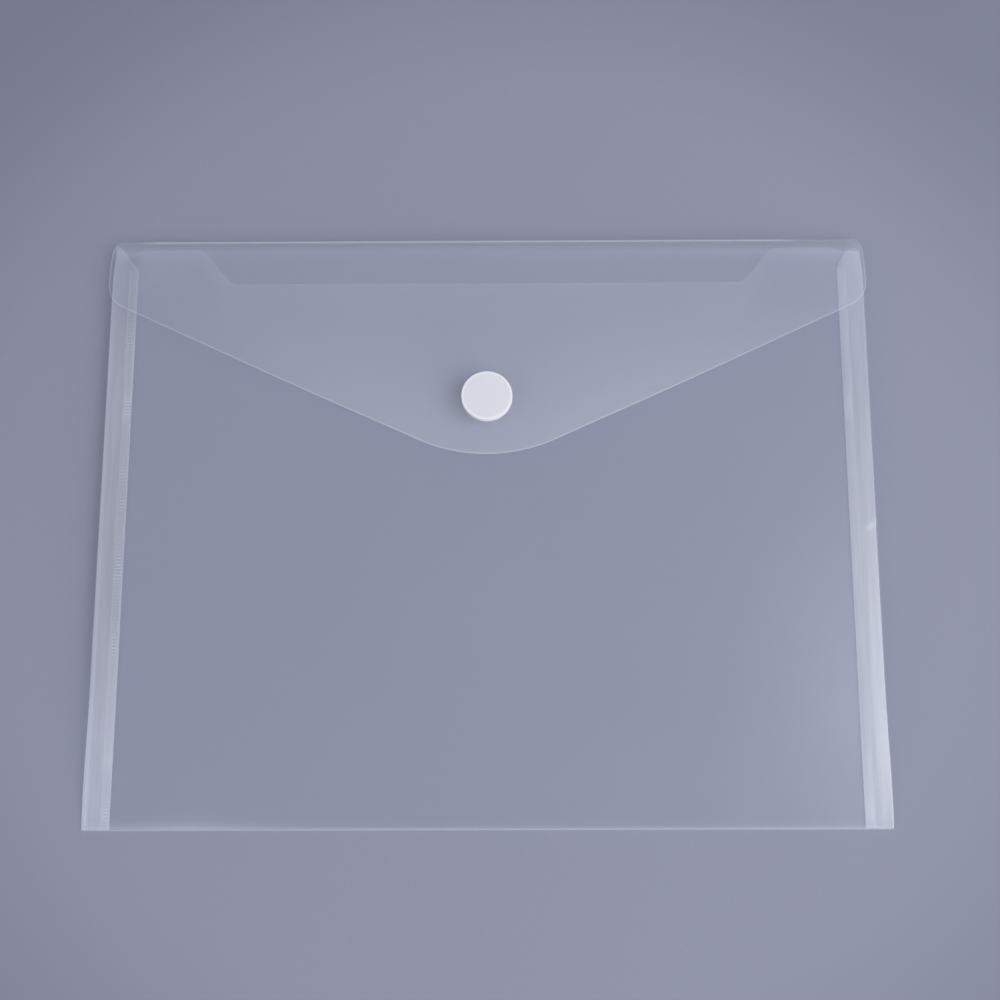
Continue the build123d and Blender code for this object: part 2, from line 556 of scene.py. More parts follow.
@dataclass(frozen=True)
class TableFinish:
    """Matt blue-grey table top with a faint fine grain and a painted pool of light: painted shade darker
    away from the wallet.
    """

    name: str = "table_top"
    light: Triple = (154, 157, 176)
    shade: Triple = (149, 152, 172)
    # far is the painted shade at the edge of the painted light pool, whose inner and outer radii follow.
    far: Triple = (135, 138, 158)
    pool: tuple[float, float] = (0.2, 0.32)
    grain_scale: float = 700.0
    grain_octaves: float = 3.0
    roughness: float = 0.75
    specular: float = 0.2

    def material(self) -> Material:
        """The finish as a material.

        Returns:
            The material.
        """
        material, web, output = new_material(self.name)
        plain = web.ramp(web.noise(self.grain_scale, self.grain_octaves), self.shade, self.light)
        # Painted light pool: the colour darkens towards far with the distance from the middle, a painted
        # falloff of the light.
        place = web.add("ShaderNodeTexCoord").outputs["Object"]
        away = web.add("ShaderNodeVectorMath", {0: place}, operation="LENGTH").outputs["Value"]
        reach = web.add(
            "ShaderNodeMapRange",
            {"Value": away, "From Min": self.pool[0], "From Max": self.pool[1]},
            interpolation_type="SMOOTHSTEP",
        )
        top = web.add(
            "ShaderNodeBsdfPrincipled",
            {
                "Base Color": web.mix(reach.outputs[0], plain, self.far),
                "Roughness": self.roughness,
                "Specular IOR Level": self.specular,
            },
        )
        web.feed(output.inputs["Surface"], top.outputs[0])
        return material


class Finish:
    """Every finish on the wallet, by the piece that wears it."""

    PALE = (237, 240, 251)
    # The cut_glow and fold_glow values below set painted highlights along cut edges and folds, such as the
    # bright line along the flap's edge.
    PANEL = FilmFinish("panel_film", haze=0.054, cut_glow=0.06, fold_glow=0.2, gloss=0.22)
    FLAP = FilmFinish(
        "flap_film", haze=0.2, cut_glow=0.28, fold_glow=0.1, tint=(223, 228, 242), forward=0.95
    )
    GUSSET = FilmFinish(
        "gusset_film",
        haze=0.27,
        cut_glow=0.04,
        fold_glow=0.06,
        gloss=0.4,
        tint=PALE,
        mirror=0.025,
        forward=0.7,
        streaks=0.5,
        relief=0.02 * MM,
    )
    MARGIN = FilmFinish("margin_film", haze=0.2, cut_glow=0.2, gloss=0.4, tint=PALE, mirror=0.02)
    CREASE = FilmFinish("crease_film", haze=0.44, tint=(214, 219, 235), gloss=0.25, forward=0.0)
    FOOT = FilmFinish("foot_film", haze=0.11, fold_glow=0.2, gloss=0.25)
    WELD = FilmFinish("weld_film", haze=0.62, gloss=0.4, tint=(236, 239, 250), mirror=0.02)
    GLUE = FilmFinish("glue_film", haze=0.02, gloss=0.2, tint=(226, 228, 232))
    TAPE = ClothFinish("white_tape", (250, 249, 250), (245, 245, 247), 0.8, 0.45 * MM, 0.04 * MM)
    PILE = ClothFinish("white_pile", (232, 234, 240), (218, 221, 229), 0.9, 0.3 * MM, 0.03 * MM, sheen=0.2)
    HOOKS = ClothFinish("white_hooks", (228, 230, 237), (216, 219, 228), 0.5, 0.3 * MM, 0.01 * MM)


def new_piece(name: str, mesh: Mesh) -> Object:
    """Puts a mesh into the scene as a piece at the origin.

    Args:
        name: The piece's name.
        mesh: Its mesh.

    Returns:
        The new object.
    """
    piece = bpy.data.objects.new(name, mesh)
    bpy.context.scene.collection.objects.link(piece)
    return piece


def solid_mesh(name: str, points: np.ndarray, faces: Faces, crisp: float = 40.0) -> Mesh:
    """Makes a smooth-shaded mesh with crisp edges at sharp corners.

    Args:
        name: The mesh's name.
        points: Its points, one row each.
        faces: Point numbers of each face, outward.
        crisp: Angle past which an edge stays sharp, in degrees.

    Returns:
        The mesh.
    """
    mesh = bpy.data.meshes.new(name)
    mesh.from_pydata(points.tolist(), [], faces)
    mesh.shade_smooth()
    mesh.set_sharp_from_angle(angle=radians(crisp))
    return mesh


def set_layer(mesh: Mesh, label: str, values: np.ndarray) -> None:
    """Gives a mesh one value at each of its points.

    Args:
        mesh: The mesh.
        label: The values' name.
        values: The values, in the order of the points.
    """
    layer = mesh.attributes.new(label, "FLOAT", "POINT")
    layer.data.foreach_set("value", values.astype(np.float32))


def lattice(*coordinates: np.ndarray | float) -> np.ndarray:
    """Puts coordinates together into points, on the last axis."""
    return np.stack(np.broadcast_arrays(*coordinates), axis=-1)


@dataclass
class Sheet:
    """A sheet of film, held as a grid of points on its middle surface."""

    name: str
    points: np.ndarray
    thickness: float
    cut: np.ndarray
    fold: np.ndarray
    press: np.ndarray | None = None
    turn: np.ndarray | None = None

    def masks(self) -> dict[str, np.ndarray]:
        """The sheet's own values at each point, by name."""
        named = {"cut": self.cut, "fold": self.fold, "press": self.press, "turn": self.turn}
        return {label: values for label, values in named.items() if values is not None}

    def mirrored(self) -> "Sheet":
        """The same sheet with its columns the other way round."""
        turned = {label: values[:, ::-1] for label, values in self.masks().items()}
        return replace(self, points=self.points[:, ::-1], **turned)

    def piece(self) -> Object:
        """Gives the sheet its thickness and closes it.

        Returns:
            The closed piece, with its values at each point.
        """
        rows, columns = self.points.shape[:2]
        across = np.gradient(self.points, axis=1)
        along = np.gradient(self.points, axis=0)
        normals = np.cross(across, along)
        normals /= np.linalg.norm(normals, axis=2, keepdims=True)
        offset = normals * self.thickness / 2
        points = np.concatenate([(self.points + way * offset).reshape(-1, 3) for way in (1, -1)])
        numbers = np.arange(rows * columns).reshape(rows, columns)
        under = rows * columns
        quads = np.stack([numbers[:-1, :-1], numbers[:-1, 1:], numbers[1:, 1:], numbers[1:, :-1]], axis=-1)
        quads = quads.reshape(-1, 4)
        rim = np.concatenate([numbers[0, :], numbers[1:, -1], numbers[-1, -2::-1], numbers[-2:0:-1, 0]])
        after = np.roll(rim, -1)
        sides = np.stack([rim + under, after + under, after, rim], axis=-1)
        faces = np.concatenate([quads, quads[:, ::-1] + under, sides])
        mesh = solid_mesh(self.name, points, faces.tolist())
        for label, values in self.masks().items():
            set_layer(mesh, label, np.tile(values.reshape(-1), 2))
        return new_piece(self.name, mesh)


def skin(count: int, around: int) -> Faces:
    """Joins rings of points into a closed solid.

    Args:
        count: Number of rings.
        around: Number of points round each ring.

    Returns:
        The faces between the rings, and one at each end.
    """
    numbers = np.arange(count * around).reshape(count, around)
    after = np.roll(numbers, -1, axis=1)
    quads = np.stack([numbers[:-1], after[:-1], after[1:], numbers[1:]], axis=-1).reshape(-1, 4)
    return quads.tolist() + [numbers[0, ::-1].tolist(), numbers[-1].tolist()]


def tube(name: str, rings: np.ndarray, press: np.ndarray | float = 0.0) -> Object:
    """Closes a run of rings into a solid.

    Args:
        name: The piece's name.
        rings: Points by ring and by place round the ring.
        press: Added haze, of each ring or of all, as a share of the film's own.

    Returns:
        The piece, with its cut and fold values at nothing and full.
    """
    count, around = rings.shape[:2]
    mesh = solid_mesh(name, rings.reshape(-1, 3), skin(count, around))
    set_layer(mesh, "cut", np.zeros(count * around))
    set_layer(mesh, "fold", np.ones(count * around))
    set_layer(mesh, "press", np.repeat(np.broadcast_to(press, count), around))
    return new_piece(name, mesh)


def dress(piece: Object, finish: FilmFinish | ClothFinish, slot: Slot, *nodes: str) -> None:
    """Gives a piece its finish, and hides the CAD nodes that it replaces.

    Args:
        piece: The piece.
        finish: Its finish.
        slot: The record's material slot; not used.
        *nodes: CAD nodes that it replaces.
    """
    if not piece.data.materials:
        piece.data.materials.append(finish.material())
    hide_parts(*nodes)
    LOG.info("%s: %d faces, %s", piece.name, len(piece.data.polygons), finish.name)


@dataclass(frozen=True)
class WalletSizes:
    """Sizes and places that the pieces share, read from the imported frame."""

    half_width: float
    film: float
    crease: Vector
    foot: Vector
    shoulder: float
    front_side: float
    back_level: float
    front_level: float
    flap_level: float
    inner_fold: Vector
    inner_radius: float
    leaf_head: float

    @classmethod
    def read(cls) -> "WalletSizes":
        """Reads the frame.

        Returns:
            The sizes.
        """
        axes = {joint["name"]: Vector(joint["pos_m"]) for joint in frame["joints"]}
        back, front, flap = (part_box(node) for node in ("back_panel", "front_panel", "closing_flap"))
        margin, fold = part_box("right_weld_margin"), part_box("right_inner_fold")
        film = margin[1].z - margin[0].z
        return cls(
            half_width=back[1].x,
            film=film,
            crease=axes["flap_hinge"],
            foot=axes["mouth_hinge"],
            shoulder=front[1].y,
            front_side=front[1].x,
            back_level=back[0].z + film / 2,
            front_level=front[1].z - film / 2,
            flap_level=flap[1].z - film / 2,
            inner_fold=(fold[0] + fold[1]) / 2,
            inner_radius=(fold[1].x - fold[0].x) / 2,
            leaf_head=fold[1].y,
        )


@dataclass
class Spine:
    """The crease along the top, and how the back panel and the flap run up to it."""

    sizes: WalletSizes
    angle: float = radians(45.0)
    bend: float = 8 * MM
    trim: float = 2.1 * MM
    trim_run: float = 16 * MM
    bead_radius: float = 0.5 * MM
    bead_end: float = 2.4 * MM
    bead_least: float = 0.04
    bead_rings: int = 120
    bead_sides: int = 14
    bead_fade: float = 0.8
    right_fade_from: float = 128 * MM
    right_fade_run: float = 12 * MM
    left_fade_from: float = 146 * MM
    left_fade_run: float = 10 * MM
    turn: float = 0.85
    turn_start: float = 1.7 * MM
    turn_run: float = 0.9 * MM

    def turned(self, y: np.ndarray) -> np.ndarray:
        """Share of the light that the slopes turn aside close to the crease."""
        return self.turn * smooth((y - self.sizes.crease.y + self.turn_start) / self.turn_run)

    @property
    def corner(self) -> float:
        """Where the level runs and the slopes up to the crease would meet."""
        return self.sizes.crease.y - (self.sizes.flap_level - self.sizes.crease.z) / tan(self.angle)

    def narrowing(self, y: np.ndarray) -> np.ndarray:
        """How far both leaves are trimmed back at the ends of the crease."""
        return self.trim * np.clip((y - self.sizes.crease.y + self.trim_run) / self.trim_run, 0.0, 1.0) ** 2

    def build(self) -> None:
        """Makes the rolled bead of film that both leaves turn on."""
        half = self.sizes.half_width - self.trim
        x = half * np.linspace(-1.0, 1.0, self.bead_rings)
        gap = half - np.abs(x)
        radius = self.bead_radius * np.sqrt(np.clip(gap / self.bead_end, self.bead_least, 1.0))[:, None]
        turns = np.linspace(0.0, 2 * pi, self.bead_sides, endpoint=False)
        rings = lattice(
            x[:, None],
            self.sizes.crease.y + radius * np.cos(turns),
            self.sizes.crease.z + radius * np.sin(turns),
        )
        right = smooth((x - self.right_fade_from) / self.right_fade_run)
        left = smooth((-x - self.left_fade_from) / self.left_fade_run)
        bead = tube("crease_bead", rings, -self.bead_fade * (right + left))
        dress(bead, Finish.CREASE, Slot.FILM, "top_crease")
        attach(bead, Body.BACK.value)


@dataclass
class BackPanel:
    """The back panel, flat on the table and turned up to the crease, with the bottom fold."""

    sizes: WalletSizes
    spine: Spine
    row_steps: Triple = (0.5 * MM, 0.3 * MM, 5 * MM)
    column_steps: Triple = (0.12 * MM, 0.12 * MM, 5 * MM)
    cut_band: float = 0.45 * MM
    fold_band: float = 1.1 * MM
    foot_steps: Triple = (0.15 * MM, 0.15 * MM, 4 * MM)
    foot_turns: int = 11
    foot_spread: float = 1.2 * MM

    def build(self) -> None:
        """Makes and dresses the panel and the fold along its foot."""
        self.panel()
        self.bottom_fold()

    def panel(self) -> None:
        """The panel itself."""
        sizes, spine = self.sizes, self.spine
        start, end = sizes.foot.y, sizes.crease.y - spine.bead_radius * cos(spine.angle)
        y = (start + (end - start) * graded(end - start, *self.row_steps))[:, None]
        half = sizes.half_width - spine.narrowing(y)
        x = half * (2 * graded(2 * sizes.half_width, *self.column_steps) - 1)
        z = bent_height(y, spine.corner, sizes.back_level, spine.angle, spine.bend, 1, 1)
        grid = lattice(x, y, z)
        cut = bell(half - np.abs(x), self.cut_band)
        # The fold band whitens the panel along its foot, partly as a painted highlight on the bottom fold.
        fold = bell(grid[..., 1] - start, self.fold_band)
        piece = Sheet("back_film", grid, sizes.film, cut, fold, turn=spine.turned(grid[..., 1])).piece()
        dress(piece, Finish.PANEL, Slot.FILM, "back_panel")
        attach(piece, Body.BACK.value)

    def bottom_fold(self) -> None:
        """The U-turn of film between the back panel and the front panel."""
        sizes = self.sizes
        radius = sizes.foot.z - sizes.back_level
        turns = np.linspace(-pi / 2, -3 * pi / 2, self.foot_turns)[:, None]
        half = sizes.half_width + (1 + np.sin(turns)) / 2 * self.foot_spread
        x = half * (2 * graded(2 * sizes.half_width, *self.foot_steps) - 1)
        y = sizes.foot.y + radius * np.cos(turns)
        z = sizes.foot.z + radius * np.sin(turns)
        cut = bell(half - np.abs(x), self.cut_band)
        # Fold values of 1 give the whole turn whitened haze, partly as a painted highlight along the
        # rounded fold.
        piece = Sheet("bottom_fold_film", lattice(x, y, z), sizes.film, cut, np.ones_like(cut)).piece()
        dress(piece, Finish.FOOT, Slot.FILM, "bottom_fold")
        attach(piece, Body.BACK.value)


@dataclass
class Flap:
    """The closing flap, from the crease over the front panel to its rounded point."""

    sizes: WalletSizes
    spine: Spine
    slope: float = radians(25.2)
    side_corner: float = 99.3 * MM
    corner_radius: float = 12 * MM
    tip_radius: float = 70 * MM
    corner_columns: int = 16
    inner_columns: int = 54
    row_steps: Triple = (0.45 * MM, 0.12 * MM, 2.4 * MM)
    bead_gap: float = 0.1 * MM
    flare: float = 0.5 * MM
    corner_out: float = 0.35 * MM
    corner_up: float = 0.6 * MM
    corner_from: float = 115 * MM
    corner_run: float = 50 * MM
    corner_head: float = 100 * MM
    head_run: float = 20 * MM
    edge_sag: float = 0.9 * MM
    sag_from: float = 30 * MM
    sag_run: float = 100 * MM
    sag_start: float = 0.45
    fold_band: float = 0.8 * MM
    press_range: float = 1.1
    press_start: float = 0.55
    # Painted light: added haze along the crease lightens the band below it, which the lamps leave darker.
    crease_press: float = 1.7
    crease_run: float = 5 * MM
    left_fade: float = 0.36
    left_run: float = 100 * MM
    left_power: int = 4
    # Painted shade: the flap's haze is thinned round the closure, darkening the film there in place of the
    # closure's shadow.
    taut: float = 0.22
    taut_run: float = 30 * MM
    cut_band: float = 0.42 * MM

    def lower_edge(self, x: np.ndarray) -> np.ndarray:
        """Where the flap ends at each place across it.

        Args:
            x: Places across the wallet.

        Returns:
            The outline's y.
        """
        out = np.abs(x)
        tip_end = self.tip_radius * sin(self.slope)
        line = self.side_corner - (self.sizes.half_width - out) * tan(self.slope)
        apex_drop = self.tip_radius / cos(self.slope)
        apex = self.side_corner - self.sizes.half_width * tan(self.slope)
        tip = apex + apex_drop - np.sqrt(self.tip_radius**2 - np.clip(out, 0.0, tip_end) ** 2)
        tangent = self.corner_radius * tan((pi / 2 - self.slope) / 2)
        centre_x = self.sizes.half_width - self.corner_radius
        past = np.clip(out - centre_x, 0.0, self.corner_radius)
        round_y = self.side_corner + tangent - np.sqrt(self.corner_radius**2 - past**2)
        round_start = centre_x + self.corner_radius * sin(self.slope)
        return np.where(out < tip_end, tip, np.where(out < round_start, line, round_y))

    def columns(self) -> np.ndarray:
        """Places across the flap, close together round its side corners.

        Returns:
            The x values, from left to right.
        """
        turns = np.linspace(pi / 2, self.slope, self.corner_columns)
        corner = self.sizes.half_width - self.corner_radius + self.corner_radius * np.sin(turns)
        inner = np.linspace(corner[-1], 0.0, self.inner_columns)[1:]
        right = np.concatenate([corner, inner])
        return np.concatenate([-right[:-1], right[::-1]])

    def build(self) -> None:
        """Makes and dresses the flap."""
        sizes, spine = self.sizes, self.spine
        top = sizes.crease.y - (spine.bead_radius + self.bead_gap) * cos(spine.angle)
        column = self.columns()
        low = self.lower_edge(column)
        share = graded(top - low.min(), *self.row_steps)[:, None]
        y = top - share * (top - low)
        x = column * (1 + (self.flare - spine.narrowing(y)) / sizes.half_width)
        z = bent_height(y, spine.corner, sizes.flap_level, spine.angle, spine.bend, 1, -1)
        corner = smooth((np.abs(x) - self.corner_from) / self.corner_run)
        corner = corner * (1 - smooth((y - self.corner_head) / self.head_run))
        sag = np.sin(pi * np.clip((np.abs(x) - self.sag_from) / self.sag_run, 0.0, 1.0)) ** 2
        sag = sag * smooth((share - self.sag_start) / (1 - self.sag_start))
        out = np.sign(x) * self.corner_out * corner
        grid = lattice(x + out, y + self.corner_up * corner, z - self.edge_sag * sag)
        outline = np.concatenate([grid[:-1, 0], grid[-1], grid[-2::-1, -1]])[:, :2]
        # cut marks the flap's edge, where the flap's cut glow paints a bright highlight line.
        cut = near_line(grid, outline, self.cut_band)
        fold = bell(grid[..., 1] - sizes.crease.y, self.fold_band)
        low_corner, high_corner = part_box("hook_tape")
        closure = (low_corner + high_corner) / 2
        press = self.press_range * (smooth((top - y) / (top - low.min())) - self.press_start)
        press = press - self.left_fade * smooth(-x / self.left_run) * share**self.left_power
        # Painted light along the crease.
        press = press + self.crease_press * bell(sizes.crease.y - y, self.crease_run)
        # Painted shade round the closure.
        press = press - self.taut * bell(np.hypot(x - closure.x, y - closure.y), self.taut_run)
        piece = Sheet("flap_film", grid, sizes.film, cut, fold, press).piece()
        dress(piece, Finish.FLAP, Slot.FILM, "closing_flap")
        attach(piece, Body.FLAP.value)


@dataclass(frozen=True)
class LeafHaze:
    """How hazy one gusset leaf is along and across it, over the film's own haze."""

    base: float
    foot: float
    foot_power: float
    slant: float
    middle: float = 0.0
    middle_at: float = -60 * MM
    middle_run: float = 45 * MM
    inner_fade: float = 0.0
    inner_run: float = 0.16
    head_fade: float = 0.0
    head_run: float = 60 * MM

    def press(self, y: np.ndarray, share: np.ndarray, sizes: WalletSizes) -> np.ndarray:
        """The added haze.

        Args:
            y: Places along the wallet.
            share: Places across the leaf, from 0 at its inner fold to 1.
            sizes: The wallet's sizes.

        Returns:
            The haze at each place, as a share of the film's own.
        """
        down = np.clip((sizes.shoulder - y) / (sizes.shoulder - sizes.foot.y), 0.0, 1.0)
        along = self.base + self.foot * down**self.foot_power
        along = along + self.middle * bell(y - self.middle_at, self.middle_run)
        along = along - self.head_fade * smooth((y - sizes.shoulder + self.head_run) / self.head_run)
        across = self.slant * (share - 0.5) - self.inner_fade * bell(share, self.inner_run)
        return along + across


@dataclass
class Pocket:
    """The front panel with its side folds, and the gussets that join it to the back panel."""

    sizes: WalletSizes
    row_steps: Triple = (0.4 * MM, 0.12 * MM, 3.2 * MM)
    column_steps: tuple[float, ...] = (3.2 * MM, 0.7 * MM, 3.0 * MM, 0.6 * MM)
    notch_space: float = 4 * MM
    turn_count: int = 9
    ramp: float = radians(9.0)
    ramp_bend: float = 250 * MM
    notch_floor: float = 108.3 * MM
    notch_half: float = 111.8 * MM
    mouth_half: float = 125.9 * MM
    notch_radius: float = 5 * MM
    fold_radius: float = 0.35 * MM
    leaf_rest: float = 0.65 * MM
    left_mitre: float = 1.3
    right_mitre: float = 0.42
    right_fall: float = 1.6 * MM
    corner_rise: float = 2.8 * MM
    rise_width: float = 3 * MM
    corner_dip: float = 1.8 * MM
    dip_inset: float = 7 * MM
    dip_width: float = 3.5 * MM
    curl: float = 1.1 * MM
    curl_run: float = 10 * MM
    pinch: float = 0.9 * MM
    pinch_run: float = 14 * MM
    wave: float = 0.3 * MM
    wave_lengths: tuple[float, float] = (150 * MM, 190 * MM)
    wave_starts: tuple[float, float] = (0.7, 0.4)
    calm_at: float = 55.5 * MM
    calm_from: float = 16 * MM
    calm_run: float = 50 * MM
    level_half: float = 16 * MM
    side_share: float = 0.12
    cut_band: float = 0.42 * MM
    fold_band: float = 0.9 * MM
    # foot_line, foot_band and foot_glow whiten the front panel along its foot. This is partly a painted
    # highlight on the bottom fold, which foot_gain and foot_spread make wider and brighter near the left
    # corner.
    foot_line: float = 0.7 * MM
    foot_peak: float = 0.7
    foot_band: float = 2.4 * MM
    foot_glow: float = 0.25
    foot_gain: float = 3.4
    foot_spread: float = 0.5
    foot_spread_at: float = -125 * MM
    foot_spread_run: float = 35 * MM
    mouth_press: float = 1.5
    mouth_run: float = 26 * MM
    kink: float = 0.65
    kink_top: float = -1.6 * MM
    kink_slant: float = 0.77
    kink_run: float = 1.6 * MM
    kink_rows: Triple = (-5 * MM, 3 * MM, 0.6 * MM)
    facet_start: float = 0.5
    facet_share: float = 0.12
    # Painted highlights along the side folds: the right one is far stronger than the left, where the light
    # falls on the right strip. line_glow paints a bright line inside the left side that grows brighter
    # lower down.
    left_glow: float = 0.12
    right_glow: float = 0.4
    line_inset: float = 1.7 * MM
    line_width: float = 0.6 * MM
    line_glow: float = 1.6
    spread: float = 0.25 * MM
    left_haze: LeafHaze = LeafHaze(
        base=-0.02, foot=0.6, foot_power=5.0, slant=0.2, middle=-0.14, head_fade=0.45
    )
    # Painted light: the right leaf is much hazier than the left, so it shows lighter, in place of the light
    # that brightens the right strip. Its middle bump is a painted highlight low on the strip.
    right_haze: LeafHaze = LeafHaze(
        base=0.9, foot=-0.45, foot_power=12.0, slant=-0.25, middle=0.55, inner_fade=0.5
    )
    leaf_rows: Triple = (0.4 * MM, 0.12 * MM, 3 * MM)
    leaf_columns: Triple = (0.012, 0.012, 0.1)
    leaf_bulge: float = 0.3 * MM
    left_turn: float = 0.45
    turn_run: float = 120 * MM
    # Painted sheen: extra haze low on the right beside the strip lightens the film there, in place of the
    # side lamp's glow.
    side_press: float = 1.9
    side_press_at: tuple[float, float] = (152 * MM, -70 * MM)
    side_press_run: tuple[float, float] = (28 * MM, 45 * MM)
    # Painted shade: a small patch of thinner haze at the top left corner, where the gusset meets the mouth,
    # darkens it like a shadow.
    corner_dim: float = 2.3
    corner_dim_at: tuple[float, float] = (-156.8 * MM, 119.3 * MM)
    corner_dim_run: float = 3 * MM
    margin_lift: float = 0.02 * MM
    margin_turns: int = 11
    margin_rows: int = 90
    margin_steps: Triple = (0.3 * MM, 0.1 * MM, 0.6 * MM)
    turn_clear: float = 0.9

    def height(self, y: np.ndarray) -> np.ndarray:
        """Height of the front panel's middle surface, away from its sides.

        Args:
            y: Places along the wallet.

        Returns:
            The height at each place.
        """
        sizes = self.sizes
        foot = 2 * sizes.foot.z - sizes.back_level
        corner = sizes.foot.y + (sizes.front_level - foot) / tan(self.ramp)
        return bent_height(y, corner, sizes.front_level, self.ramp, self.ramp_bend, -1, -1)

    def openness(self, y: np.ndarray) -> np.ndarray:
        """How far the pocket stands open at each place, from 0 at its foot to 1."""
        foot = 2 * self.sizes.foot.z - self.sizes.back_level
        return np.clip((self.height(y) - foot) / (self.sizes.front_level - foot), 0.0, 1.0)

    def side(self, y: np.ndarray) -> np.ndarray:
        """Where the axis of the right side fold lies.

        The gusset leaf keeps its width, so the fold moves out where the pocket flattens.

        Args:
            y: Places along the wallet.

        Returns:
            The x of the axis at each place.
        """
        sizes = self.sizes
        drop = self.curl * self.openness(y)
        rest = sizes.front_side - sizes.inner_fold.x
        width = hypot(rest, sizes.front_level - self.curl - sizes.inner_fold.z)
        rise = self.height(y) - drop - sizes.inner_fold.z
        pinched = self.pinch * smooth((y - sizes.shoulder + self.pinch_run) / self.pinch_run)
        return sizes.inner_fold.x + np.sqrt(width**2 - rise**2) - pinched + self.spread

    def edge_drop(self, y: np.ndarray, right: np.ndarray) -> np.ndarray:
        """How far the front panel's edge curls down, less on the right above its kink."""
        held = 1 - self.kink * smooth((y - self.kink_top) / self.kink_run)
        return self.curl * self.openness(y) * np.where(right, held, 1.0)

    def curled(self, near: np.ndarray, right: np.ndarray) -> np.ndarray:
        """Share of the edge's drop across the curl: even on the left, with a facet on the right.

        Args:
            near: How close each place is to the edge, from 0 to 1.
            right: Whether each place is on the right side.

        Returns:
            The share at each place, from 0 to 1.
        """
        inner = self.facet_share * (near / self.facet_start) ** 2
        past = (near - self.facet_start) / (1 - self.facet_start)
        facet = self.facet_share + (1 - self.facet_share) * past
        return np.where(right, np.where(near < self.facet_start, inner, facet), near**2)

    @property
    def tilt(self) -> float:
        """Slope of the front panel where its curled side begins to fold."""
        return atan(2 * self.curl / self.curl_run)

    @property
    def lean(self) -> float:
        """Slope of the gusset leaf where the pocket stands fully open."""
        sizes = self.sizes
        return atan((sizes.front_level - self.curl) / (sizes.front_side - sizes.inner_fold.x))

    def side_radius(self, y: np.ndarray) -> np.ndarray:
        """Radius of the side fold, which flattens towards the bottom fold."""
        room = self.height(y) - self.curl * self.openness(y) - self.leaf_rest
        return np.clip(room / 2, 0.0, self.fold_radius)

    def mouth(self, x: np.ndarray) -> np.ndarray:
        """Where the front panel ends at each place across it.

        Args:
            x: Places across the wallet.

        Returns:
            The y of the notched edge.
        """
        far = Vector((self.sizes.front_side, self.sizes.shoulder))
        upper = Vector((self.mouth_half, self.sizes.shoulder))
        lower = Vector((self.notch_half, self.notch_floor))
        middle = Vector((0.0, self.notch_floor))
        line = np.concatenate(
            [fillet(middle, lower, upper, self.notch_radius), fillet(lower, upper, far, self.notch_radius)]
        )
        dip = self.corner_dip * bell(np.abs(x) - self.sizes.front_side + self.dip_inset, self.dip_width)
        rise = self.corner_rise * bell(x + self.sizes.front_side, self.rise_width)
        return np.interp(np.abs(x), line[:, 0], line[:, 1]) - dip + rise

    def bow(self, x: np.ndarray) -> np.ndarray:
        """Share of the mouth's swing that the film takes at each place across the wallet."""
        out = (np.abs(x) - self.level_half) / (self.sizes.half_width - self.level_half)
        return 1 - (1 - self.side_share) * smooth(out)

    def build(self) -> None:
        """Makes and dresses the front panel, the gussets and their weld margins."""
        self.front()
        for side in Side:
            self.leaf(side)
            self.margin(side)

    def columns(self) -> np.ndarray:
        """Places across the flat of the front panel, close together at the notch and the sides.

        Returns:
            The x values as shares of the half width, from left to right.
        """
        end = self.sizes.front_side
        notch = (self.notch_half - self.notch_space, self.mouth_half + self.notch_space)
        stops = [0.0, *notch, end - self.curl_run, end]
        right = [
            np.linspace(start, stop, round((stop - start) / step), endpoint=False)
            for start, stop, step in zip(stops[:-1], stops[1:], self.column_steps)
        ]
        places = np.concatenate([*right, [end]]) / end
        return np.concatenate([-places[:0:-1], places])

    def front(self) -> None:
        """The front panel, carried round its two side folds."""
        sizes = self.sizes
        share = self.columns()
        start = sizes.foot.y
        top = self.mouth(share * sizes.front_side)
        count = self.turn_count
        top = np.concatenate([np.full(count, top[0]), top, np.full(count, top[-1])])
        below, above, step = self.kink_rows
        kink_rows = np.arange(self.kink_top + below, self.kink_top + above, step)
        rows = graded(sizes.shoulder - start, *self.row_steps)
        rows = np.unique(np.concatenate([rows, (kink_rows - start) / (sizes.shoulder - start)]))[:, None]
        y = start + rows * (top - start)
        flat_y = y[:, count:-count]
        edge = self.side(flat_y)
        x = share * edge
        near = np.clip(1 - (edge - np.abs(x)) / self.curl_run, 0.0, 1.0)
        calm = smooth((np.hypot(x, flat_y - self.calm_at) - self.calm_from) / self.calm_run)
        calm = calm * (1 - near) * self.openness(flat_y)
        ripple = self.wave * calm
        for place, length, first in zip((x, flat_y), self.wave_lengths, self.wave_starts):
            ripple = ripple * np.sin(2 * pi * place / length + first)
        right = x > 0
        slanted = flat_y + self.kink_slant * np.clip(edge - np.abs(x), 0.0, self.curl_run)
        drop = self.edge_drop(slanted, right) * self.curled(near, right)
        flat = lattice(x, flat_y, self.height(flat_y) - drop + ripple)
        turns = np.linspace(pi / 2 - self.tilt, self.lean - pi / 2, count + 1)[1:]
        turned = {}
        for side in Side:
            rim = flat[:, 0 if side is Side.LEFT else -1]
            radius = self.side_radius(rim[:, 1])[:, None]
            out = rim[:, None, 0] + side.value * radius * (np.cos(turns) - cos(pi / 2 - self.tilt))
            down = rim[:, None, 2] + radius * (np.sin(turns) - sin(pi / 2 - self.tilt))
            turned[side] = lattice(out, rim[:, None, 1], down)
        grid = np.concatenate([turned[Side.LEFT][:, ::-1], flat, turned[Side.RIGHT]], axis=1)
        cut = near_line(grid, grid[-1, count:-count, :2], self.cut_band)
        piece = Sheet("front_film", grid, sizes.film, cut, self.glow(grid), self.bands(grid)).piece()
        dress(piece, Finish.PANEL, Slot.FILM, "front_panel", "right_side_fold", "left_side_fold")
        self.hang(piece, self.bow)

